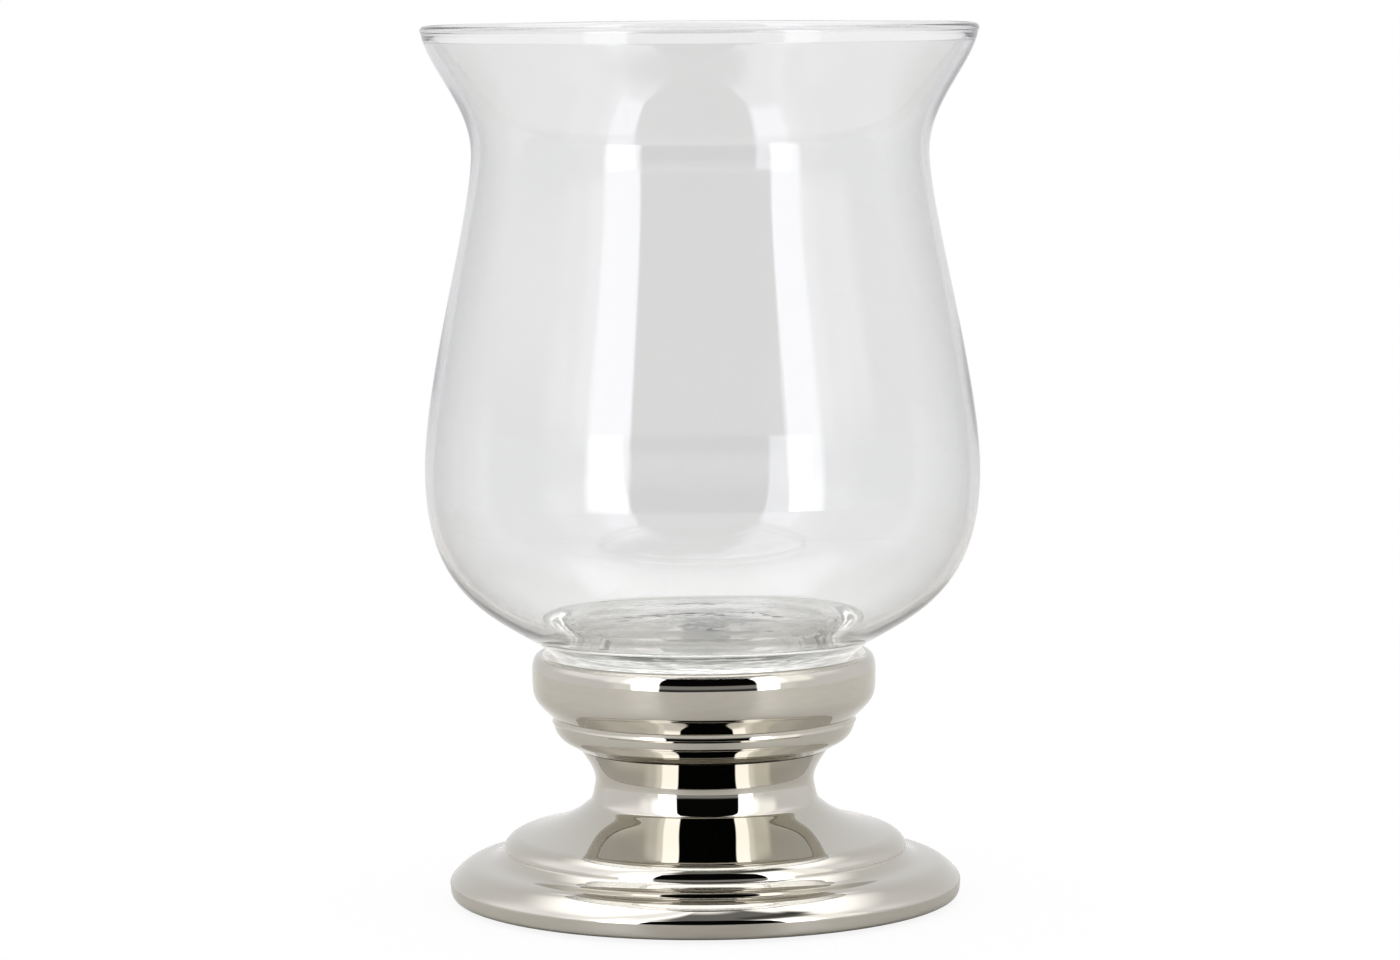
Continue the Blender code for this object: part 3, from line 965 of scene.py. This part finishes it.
@dataclass
class Fastening:
    """The M8 tie bolt with its nut and washers, hung on the axis."""

    shank: float = 4.0
    pitch: float = 1.25
    tip: float = 31.9
    thread_top: float = 56.0
    head: Pair = (73.4, 78.7)
    across_flats: float = 13.0
    nut: Pair = (34.9, 41.4)
    nut_bore: Pair = (4.3, 4.9)
    head_washer: Triple = (71.5, 73.1, 8.0)
    clamp_washer: Triple = (44.0, 46.5, 15.0)
    spring_washer: Triple = (41.72, 1.7, 7.2)
    spring_climb: float = 0.25
    spring_ends: Pair = (7.0, 353.0)
    hole: float = 4.5
    thread_depth: float = 0.61
    bolt_segments: int = 72
    nut_segments: int = 144
    washer_segments: int = 96

    def hexagon(self, angle: np.ndarray) -> np.ndarray:
        """A hexagon's radius: half across flats over the cosine of the angle to the nearest flat."""
        flat = np.mod(angle + math.pi / 6, math.pi / 3) - math.pi / 6
        return self.across_flats / 2 / np.cos(flat)

    def bolt(self) -> Piece:
        """The bolt, ring by ring from its tip to the top of its head.

        The groove is cut by its depth times the pitch times 2.2 |f - 1/2| - 0.1, held between 0 and 1,
        where f is the fraction of height / pitch - angle / (2 pi). It runs out below the shank, and the
        tip tapers. The head is a hexagon, held under a cone of 30 degrees at its top.

        Returns:
            The bolt.
        """
        angle = round_angles(self.bolt_segments)
        height = np.arange(self.tip, self.thread_top, self.pitch / 14)
        height = np.concatenate([height, [self.head[0] - 0.5]])
        turn = np.mod(height[:, None] / self.pitch - angle / (2 * math.pi), 1.0)
        groove = self.thread_depth * self.pitch * np.clip(2.2 * np.abs(turn - 0.5) - 0.1, 0.0, 1.0)
        run_in = np.clip((height - self.tip) / 1.2, 0.0, 1.0)[:, None]
        run_out = np.clip((self.thread_top - 1.0 - height) / 1.5, 0.0, 1.0)[:, None]
        thread = self.shank - groove * run_out - (1 - run_in) * 0.9
        tall, face = self.head[1] - self.head[0], self.across_flats / 2
        rise = np.concatenate([[0.0, 0.12, 0.4], np.linspace(3.4, tall, 16)])
        cone = np.clip(face - 0.15 + (tall - rise) * math.sqrt(3.0), None, self.across_flats / math.sqrt(3.0))
        head = np.minimum(self.hexagon(angle), cone[:, None])
        head[0] = np.minimum(head[0], face - 0.1)
        radius = np.vstack([thread, np.full((1, len(angle)), self.shank), head])
        level = np.concatenate([height, [self.head[0] - 0.02], self.head[0] + rise])[:, None]
        poles = np.array([[0.0, 0.0, self.tip - 0.1], [0.0, 0.0, self.head[1]]])
        return capped("threaded_bolt", ring_grid(radius, level, angle), poles, 28.0)

    def hexagon_nut(self) -> Piece:
        """The nut: a hexagon held between two cones of 30 degrees, with a countersunk bore.

        Returns:
            The nut.
        """
        angle = round_angles(self.nut_segments)
        tall = self.nut[1] - self.nut[0]
        side = np.concatenate([np.linspace(0.0, 1.0, 12), np.linspace(tall - 1.0, tall, 12)])
        cone = self.across_flats / 2 - 0.15 + np.minimum(side, tall - side) * math.sqrt(3.0)
        outer = np.minimum(self.hexagon(angle), cone[:, None])
        small, wide = self.nut_bore
        bore = np.array([[wide, tall], [small, tall - 0.6], [small, 0.6], [wide, 0.0]])
        radius = np.vstack([outer, np.broadcast_to(bore[:, :1], (len(bore), len(angle)))])
        level = np.concatenate([side, bore[:, 1]])[:, None] + self.nut[0]
        points = ring_grid(radius, level, angle).reshape(-1, 3)
        return mesh_object("hexagon_nut", points, [grid_faces(*radius.shape, wrap=True)], 28.0)

    def flat_washer(self, name: str, low: float, high: float, radius: float) -> Piece:
        """A washer round the bolt, with eased edges."""
        return turned(name, ring_section(self.hole, radius, low, high, 0.35), self.washer_segments)

    def split_washer(self) -> Piece:
        """The spring washer: an oblong carried 346 degrees round, climbing evenly on its way.

        Returns:
            The washer.
        """
        low, thick, radius = self.spring_washer
        section = ring_section(self.hole + 0.1, radius, 0.0, thick, 0.3)[::-1]
        turn = np.radians(np.linspace(*self.spring_ends, 90))[:, None]
        climb = low + self.spring_climb * (turn / (2 * math.pi))
        grid = ring_grid(section[:, 0], section[:, 1] + climb, turn)
        return capped("split_washer", grid, grid.mean(axis=1)[[0, -1]], 40.0)

    def build(self, steel: Material) -> None:
        """Builds the bolt, the nut and the washers.

        Args:
            steel: The zinc-plated steel.
        """
        pieces = {
            "tie_bolt": self.bolt(),
            "hex_nut": self.hexagon_nut(),
            "head_washer": self.flat_washer("washer_under_head", *self.head_washer),
            "clamp_washer": self.flat_washer("washer_under_web", *self.clamp_washer),
            "spring_washer": self.split_washer(),
        }
        for node, piece in pieces.items():
            settle(piece, Body.PEDESTAL, steel, node)


@dataclass
class Pads:
    """Four round felt pads stuck to the land under the foot."""

    radius: float = 4.0
    reach: float = 72.5
    thickness: float = 1.27
    count: int = 4
    segments: int = 96

    def build(self, felt: Material) -> None:
        """Each pad is a low disc with an eased edge, slightly uneven from its waves round the rim.

        Args:
            felt: The pads' felt.
        """
        face = self.radius - 0.3
        edge = [(face, 0.0, 0.0), (self.radius, 0.0, 0.25), (self.radius, self.thickness, 0.15)]
        outline = joined(line((0.0, 0.0), (face, 0.0), 8), softened([*edge, (0.0, self.thickness, 0.0)]))
        for number in range(self.count):
            turn = math.radians(360.0 * (number + 0.5) / self.count)
            fuzz = HandWork(0.06, 40 + number, (3, 7, 11, 17, 23), 2.5)
            pad = turned(f"felt_disc_{number + 1}", outline, self.segments, closed=False, ripple=fuzz)
            where = (self.reach * MM * math.cos(turn), self.reach * MM * math.sin(turn), 0.0)
            pad.data.transform(Matrix.Translation(where))
            settle(pad, Body.PEDESTAL, felt, f"felt_pad_{number + 1}")


# Studio


@dataclass(frozen=True)
class Panel:
    """A light or dark patch of the tent, painted over the patches before it.

    All angles are in degrees, and azimuth 0 is towards the camera and 90 to its right. `across` is the
    azimuth of the patch's middle and how far it reaches to either side, `levels` its lowest and highest
    elevation, and `edges` the softness of its sides and of its low and high edge. The high edge drops by
    `fall` from the middle to the sides, so a patch can have a round top. `cool` is the share by which its
    blue is raised.
    """

    brightness: float
    across: Pair
    levels: Pair
    edges: Pair
    cool: float = 0.0
    fall: float = 0.0


@dataclass
class Studio:
    """A pale table in a white light tent that is open towards the camera, and the camera itself."""

    white: Triple = (0.97, 0.97, 0.9991)
    panels: tuple[Panel, ...] = (
        Panel(0.88, (180.0, 48.0), (-91.0, 91.0), (12.0, 3.0), cool=0.02),
        Panel(1.38, (-88.0, 30.0), (12.0, 91.0), (14.0, 6.0), cool=0.05),
        Panel(1.26, (80.0, 28.0), (17.0, 91.0), (14.0, 8.0), cool=0.05),
        Panel(2.20, (180.0, 16.0), (39.0, 91.0), (6.0, 2.0), cool=0.05),
        Panel(2.40, (0.0, 181.0), (51.0, 91.0), (1.5, 10.0), cool=0.03),
        Panel(1.20, (-45.0, 18.0), (-91.0, 6.0), (5.0, 4.0)),
        Panel(1.15, (45.0, 18.0), (-91.0, 6.0), (5.0, 4.0)),
        Panel(1.60, (-57.0, 13.0), (8.0, 91.0), (6.0, 5.0), cool=0.05),
        Panel(1.66, (60.0, 18.0), (8.0, 60.0), (4.0, 5.0)),
        Panel(2.20, (51.0, 6.0), (8.0, 60.0), (4.0, 5.0), cool=0.05),
        Panel(2.20, (-50.0, 6.0), (8.0, 60.0), (4.0, 5.0), cool=0.05),
        Panel(1.90, (-38.5, 10.5), (30.0, 62.0), (1.6, 5.0), cool=0.09),
        Panel(3.60, (-38.5, 10.5), (-40.0, 44.0), (1.6, 3.5), cool=0.09),
        Panel(3.60, (43.0, 8.0), (-40.0, 49.0), (1.6, 3.5), cool=0.09),
        Panel(0.35, (2.7, 32.7), (-91.0, 8.0), (1.5, 2.0)),
        Panel(0.24, (23.0, 55.0), (56.0, 84.0), (8.0, 4.0)),
        Panel(0.10, (58.0, 30.0), (62.0, 71.0), (6.0, 3.0)),
        Panel(0.05, (2.7, 32.7), (-40.0, -2.0), (0.8, 1.5)),
        Panel(0.003, (2.7, 32.7), (6.5, 60.0), (0.8, 1.5), fall=14.0),
    )
    table_radius: float = 800.0
    table_level: float = -0.02
    table_colour: Triple = (0.655, 0.64, 0.60)
    table_patches: Triple = (0.93, 0.93, 0.92)
    table_gloss: float = 0.42
    table_polish: float = 0.16
    table_white: float = 1.01
    table_shade: float = 0.12
    # Painted pool of light on the table under the foot: its strength and the radii where it fades out.
    painted_underfoot_glow: float = 0.8
    painted_underfoot_radius: Pair = (0.068, 0.076)
    camera_place: Triple = (0.0, -1.74407, 0.32248)
    pitch: float = 0.1013
    roll: float = 0.0072
    yaw: float = 0.0005
    lens: float = 131.242

    def room(self) -> None:
        """Makes the world.

        What is seen directly or through glass is plain white, and so is what lights cloth, rubber and
        the table. A mirror ray sees the tent: its panels, painted one over another by azimuth and height.
        """
        world = bpy.data.worlds.new("light_tent")
        bpy.context.scene.world = world
        world.use_nodes = True
        tree = world.node_tree
        coordinates = add_node(tree, "TexCoord").outputs["Generated"]
        parts = add_node(tree, "SeparateXYZ", {"Vector": coordinates}).outputs
        turn = maths(tree, "ARCTAN2", parts["X"], maths(tree, "MULTIPLY", parts["Y"], -1.0))
        azimuth = maths(tree, "DEGREES", turn)
        height = maths(tree, "DEGREES", maths(tree, "ARCSINE", parts["Z"]))
        light: Socket | Triple = self.white
        for panel in self.panels:
            light = self.painted(tree, panel, azimuth, height, light)
        tent = add_node(tree, "Background", {"Color": light})
        sky = tree.nodes["Background"]
        feed(sky, {"Color": (1.0, 1.0, 1.0, 1.0)})
        either = layered(tree, self.mirrored(tree), sky, tent)
        feed(tree.nodes["World Output"], {"Surface": either.outputs[0]})

    def painted(
        self, tree: Tree, panel: Panel, azimuth: Socket, height: Socket, under: Socket | Triple
    ) -> Socket:
        """The tent's light with one more panel over it.

        The panel's share is the product of three smooth steps: across its sides, its low edge and its
        high edge. The angle to its middle is wrapped to between -180 and 180 degrees.

        Args:
            tree: The world's nodes.
            panel: The patch to paint.
            azimuth: A ray's azimuth in degrees.
            height: Its height above the horizon.
            under: The light so far.

        Returns:
            The new light.
        """
        (middle, reach), (low, high), (wide, tall) = panel.across, panel.levels, panel.edges
        apart = maths(tree, "WRAP", maths(tree, "SUBTRACT", azimuth, middle), 180.0, -180.0)
        apart = maths(tree, "ABSOLUTE", apart)
        sides = self.eased(tree, apart, reach + wide, reach - wide)
        lower = self.eased(tree, height, low - tall, low + tall)
        if panel.fall:
            off = maths(tree, "POWER", maths(tree, "DIVIDE", apart, reach), 4.0)
            height = maths(tree, "MULTIPLY_ADD", off, panel.fall, height)
        upper = self.eased(tree, height, high + tall, high - tall)
        share = product(tree, sides, product(tree, lower, upper))
        bright = panel.brightness
        return blend(tree, share, under, (bright, bright, bright * (1.0 + panel.cool)))

    def eased(self, tree: Tree, value: Socket, start: float, stop: float) -> Socket:
        """0 below start and 1 above stop, with a smooth step between."""
        inputs = {"From Min": start, "From Max": stop, "Value": value}
        return add_node(tree, "MapRange", inputs, interpolation_type="SMOOTHSTEP").outputs["Result"]

    def mirrored(self, tree: Tree) -> Socket:
        """1 once a ray has been mirrored, else 0."""
        path = add_node(tree, "LightPath")
        return maths(tree, "MINIMUM", path.outputs["Glossy Depth"], 1.0)

    def table_finish(self) -> Material:
        """White with the holder's soft shadow, and pale beige and half glossy in the mirrors.

        From below it can't be seen, and a painted pool of light lies on it where the foot hides it from all
        other sides, so that the underside shows.

        Returns:
            The material.
        """
        material, tree, shader = new_finish("table_white")
        tree.nodes.remove(shader)
        mirrored = self.mirrored(tree)
        drift = spread(tree, noise(tree, place(tree), 9.0, 3.0), 0.0, 1.0, 0.3, 0.7)
        inputs = {
            "Factor": mirrored,
            "A": blend(tree, mirrored, (self.table_shade,) * 3, self.table_colour),
            "B": blend(tree, drift, (1.0, 1.0, 1.0), self.table_patches),
        }
        uneven = add_node(tree, "Mix", inputs, data_type="RGBA", blend_type="MULTIPLY")
        cloth = add_node(tree, "BsdfDiffuse", {"Color": uneven.outputs["Result"]})
        gloss = add_node(tree, "BsdfGlossy", {"Roughness": self.table_gloss})
        coated = layered(tree, maths(tree, "MULTIPLY", mirrored, self.table_polish), cloth, gloss)
        white = spread(tree, mirrored, self.table_white - self.table_shade, 0.0)
        # Painted light under the foot: emission on the table in the foot's own shadow.
        painted_underfoot_light = spread(tree, from_axis(tree), self.painted_underfoot_glow, 0.0, *self.painted_underfoot_radius)
        for strength in (white, painted_underfoot_light):
            glow = add_node(tree, "Emission", {"Strength": strength})
            coated = add_node(tree, "AddShader", {0: coated.outputs[0], 1: glow.outputs[0]})
        back = add_node(tree, "NewGeometry").outputs["Backfacing"]
        sided = layered(tree, back, coated, add_node(tree, "BsdfTransparent"))
        feed(tree.nodes["Material Output"], {"Surface": sided.outputs[0]})
        return material

    def table(self) -> None:
        """The round table top, a hair under the pads: rings of points (r cos, r sin, level)."""
        radius = (np.linspace(0.0, 1.0, 9)[1:] ** 1.6 * self.table_radius)[:, None]
        grid = ring_grid(radius, self.table_level, round_angles(96))
        rows, columns = grid.shape[:2]
        faces = [grid_faces(rows, columns)[:, ::-1], fan(rows * columns, np.arange(columns))]
        points = np.vstack([grid.reshape(-1, 3), [[0.0, 0.0, self.table_level]]])
        table = mesh_object("table_top", points, faces)
        table.data.materials.append(self.table_finish())

    def camera(self) -> None:
        """The camera, in front and a little above, tipped down and slightly rolled."""
        data = bpy.data.cameras.new("camera")
        data.lens = self.lens
        data.clip_start, data.clip_end = 0.05, 50.0
        camera = bpy.data.objects.new("camera", data)
        turn, tip = Matrix.Rotation(self.yaw, 4, "Z"), Matrix.Rotation(math.pi / 2 - self.pitch, 4, "X")
        lean = Matrix.Rotation(-self.roll, 4, "Z")
        camera.matrix_world = Matrix.Translation(self.camera_place) @ turn @ tip @ lean
        bpy.context.scene.collection.objects.link(camera)
        bpy.context.scene.camera = camera

    def build(self) -> None:
        """Sets the room, the table and the camera."""
        bpy.context.scene.view_settings.view_transform = "Standard"
        self.room()
        self.table()
        self.camera()
        LOGGER.info("studio set")


def main() -> None:
    """Loads the frame, builds every piece and the studio."""
    logging.basicConfig(level=logging.INFO, format="%(name)s: %(message)s")
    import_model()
    plate = NickelPlate().material()
    Pads().build(PressedFelt().material())
    Foot().build(plate, RawCasting().material())
    Cup().build(plate, SatinPlate().material(), SoftSilicone().material())
    Fastening().build(ZincSteel().material())
    Vessel().build(BlownGlass().material())
    Studio().build()


if __name__ == "__main__":
    main()
